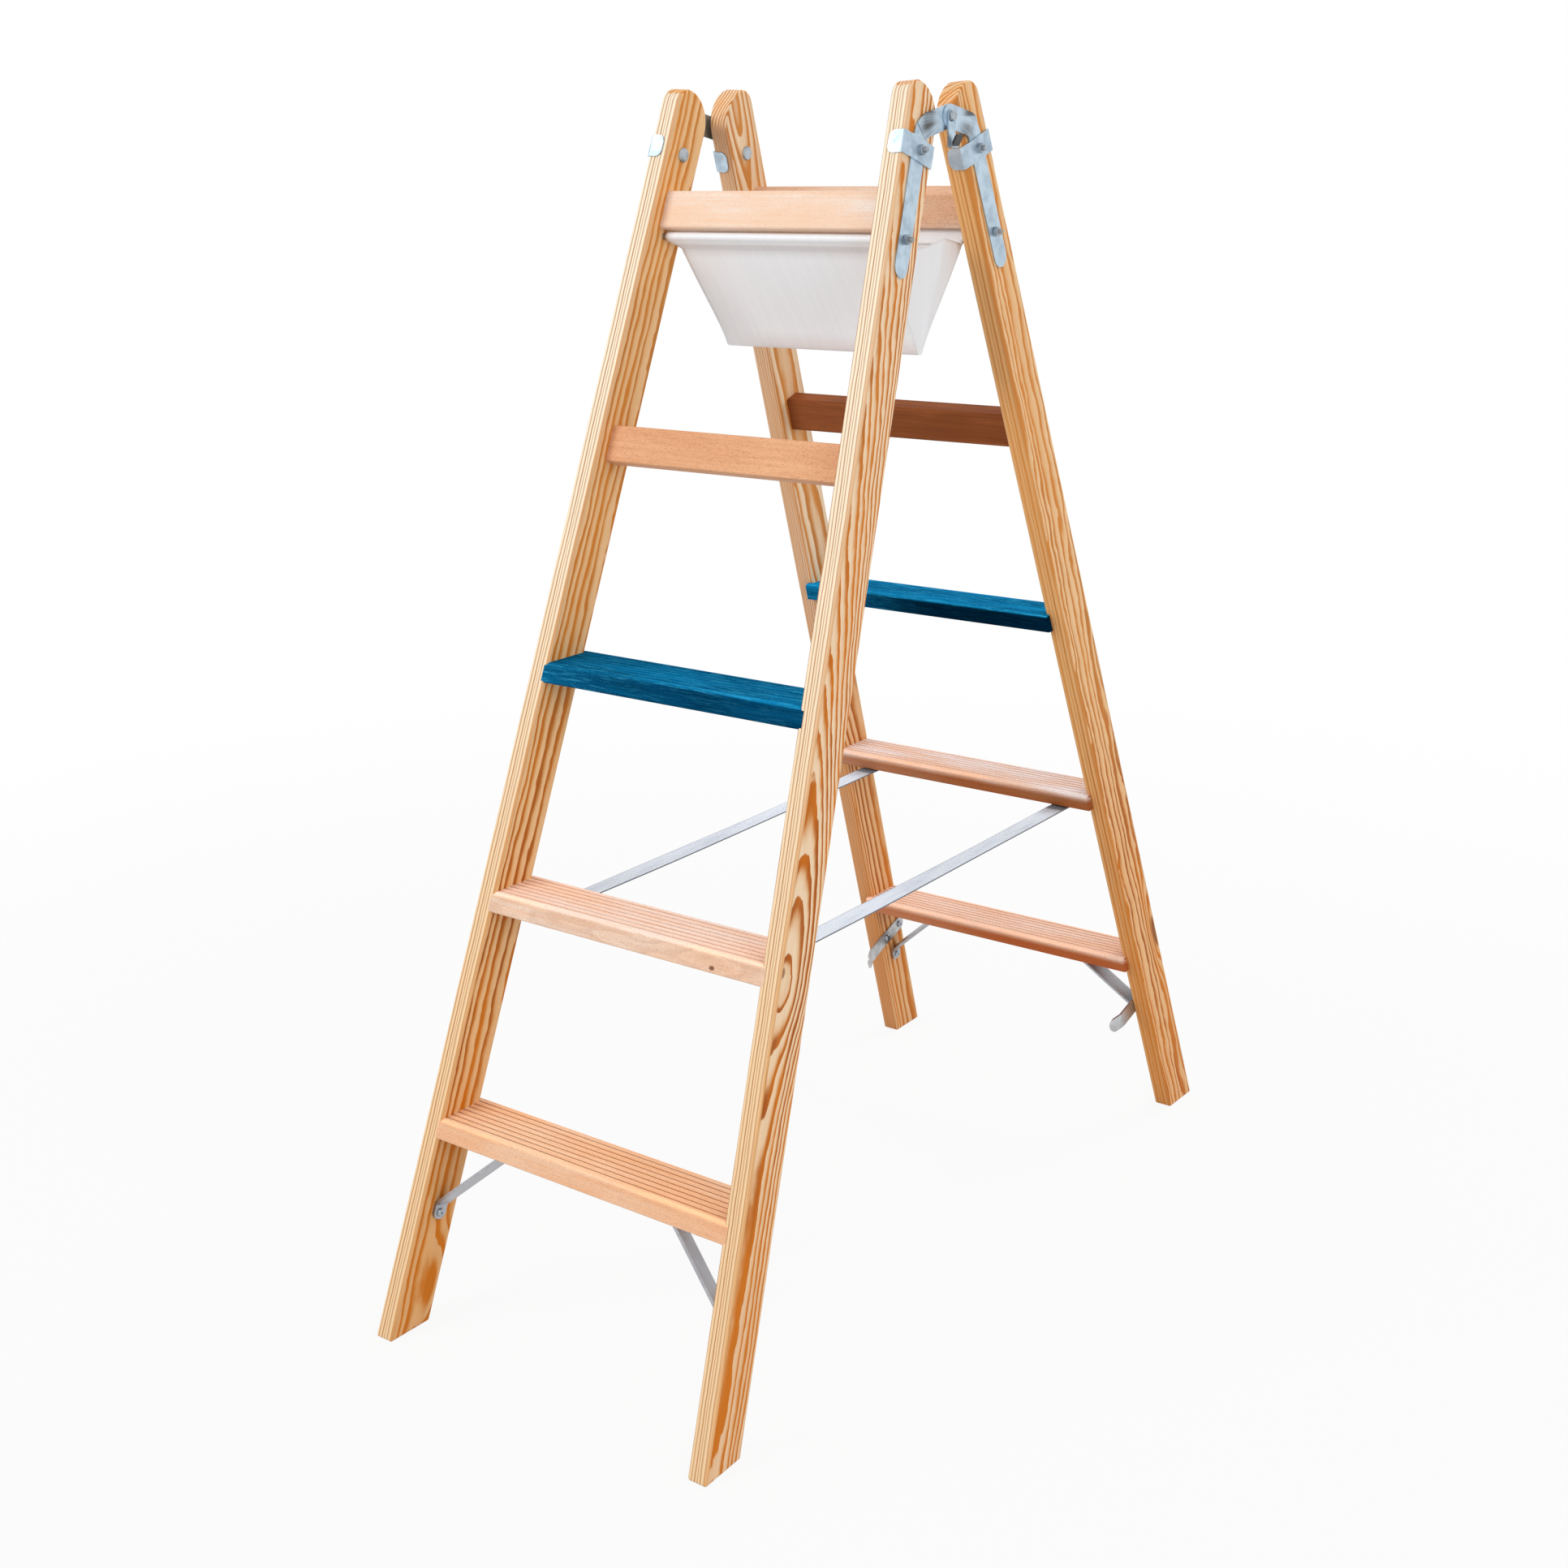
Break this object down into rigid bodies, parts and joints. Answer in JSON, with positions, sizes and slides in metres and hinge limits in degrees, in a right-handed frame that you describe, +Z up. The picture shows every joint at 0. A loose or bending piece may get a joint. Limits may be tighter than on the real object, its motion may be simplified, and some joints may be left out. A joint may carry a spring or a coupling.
{
  "type": "stepladder",
  "caption": "Double-sided folding wooden stepladder with grooved steps, curved steel hinges, webbing straps, a fabric tool tray and bucket hooks.",
  "frame": {"origin": "centre of the open ladder's footprint, on the floor", "axes": "+Z up, X along the rungs and the hinge axis, -Y towards the front half"},
  "size_m": [0.5066, 1.1738, 1.4319],
  "materials": {
    "pine": "satin lacquer",
    "beech": "satin lacquer",
    "blue_beech": "blue stain, satin",
    "zinc_steel": "bright zinc",
    "aluminium": "mill finish",
    "webbing": "woven",
    "tray_cloth": "coated"
  },
  "bodies": {
    "front_frame": {"stile_front_left": "pine", "stile_front_right": "pine", "rung_front_top": "beech", "rung_front_second": "beech", "step_front_bottom": "beech", "step_front_middle": "beech", "step_front_blue": "blue_beech", "tie_rod_front": "zinc_steel", "tie_rod_nuts_front": "zinc_steel", "hinge_plate_front_left": "zinc_steel", "hinge_plate_front_right": "zinc_steel", "hinge_clamp_front_left": "zinc_steel", "hinge_clamp_front_right": "zinc_steel", "clamp_bolts_front": "zinc_steel", "clamp_nuts_front": "zinc_steel", "pivot_rivet_left": "zinc_steel", "pivot_rivet_right": "zinc_steel", "brace_screws_front": "zinc_steel", "strap_plates_front": "zinc_steel", "strap_screws_front": "zinc_steel", "brace_front_left": "aluminium", "brace_front_right": "aluminium", "strap_left": "webbing", "strap_right": "webbing", "tool_tray": "tray_cloth"},
    "rear_frame": {"stile_rear_left": "pine", "stile_rear_right": "pine", "rung_rear_top": "beech", "rung_rear_second": "beech", "step_rear_bottom": "beech", "step_rear_middle": "beech", "step_rear_blue": "blue_beech", "tie_rod_rear": "zinc_steel", "tie_rod_nuts_rear": "zinc_steel", "hinge_plate_rear_left": "zinc_steel", "hinge_plate_rear_right": "zinc_steel", "hinge_clamp_rear_left": "zinc_steel", "hinge_clamp_rear_right": "zinc_steel", "clamp_bolts_rear": "zinc_steel", "clamp_nuts_rear": "zinc_steel", "brace_screws_rear": "zinc_steel", "guide_plate_left": "zinc_steel", "guide_plate_right": "zinc_steel", "guide_screws": "zinc_steel", "strap_plates_rear": "zinc_steel", "strap_screws_rear": "zinc_steel", "brace_rear_left": "aluminium", "brace_rear_right": "aluminium"},
    "bucket_hook_left": {"bucket_hook_left": "zinc_steel"},
    "bucket_hook_right": {"bucket_hook_right": "zinc_steel"}
  },
  "joints": [
    {"name": "ladder_fold", "type": "hinge", "parent": "front_frame", "child": "rear_frame", "pos_m": [0, 0, 1.394], "axis": [1, 0, 0], "range_deg": [-40, 0], "deforming": ["strap_left", "strap_right", "tool_tray"]},
    {"name": "hook_left_swing", "type": "hinge", "parent": "front_frame", "child": "bucket_hook_left", "pos_m": [-0.18054, 0, 1.394], "axis": [1, 0, 0], "continuous": true},
    {"name": "hook_right_swing", "type": "hinge", "parent": "front_frame", "child": "bucket_hook_right", "pos_m": [0.18054, 0, 1.394], "axis": [1, 0, 0], "continuous": true}
  ]
}
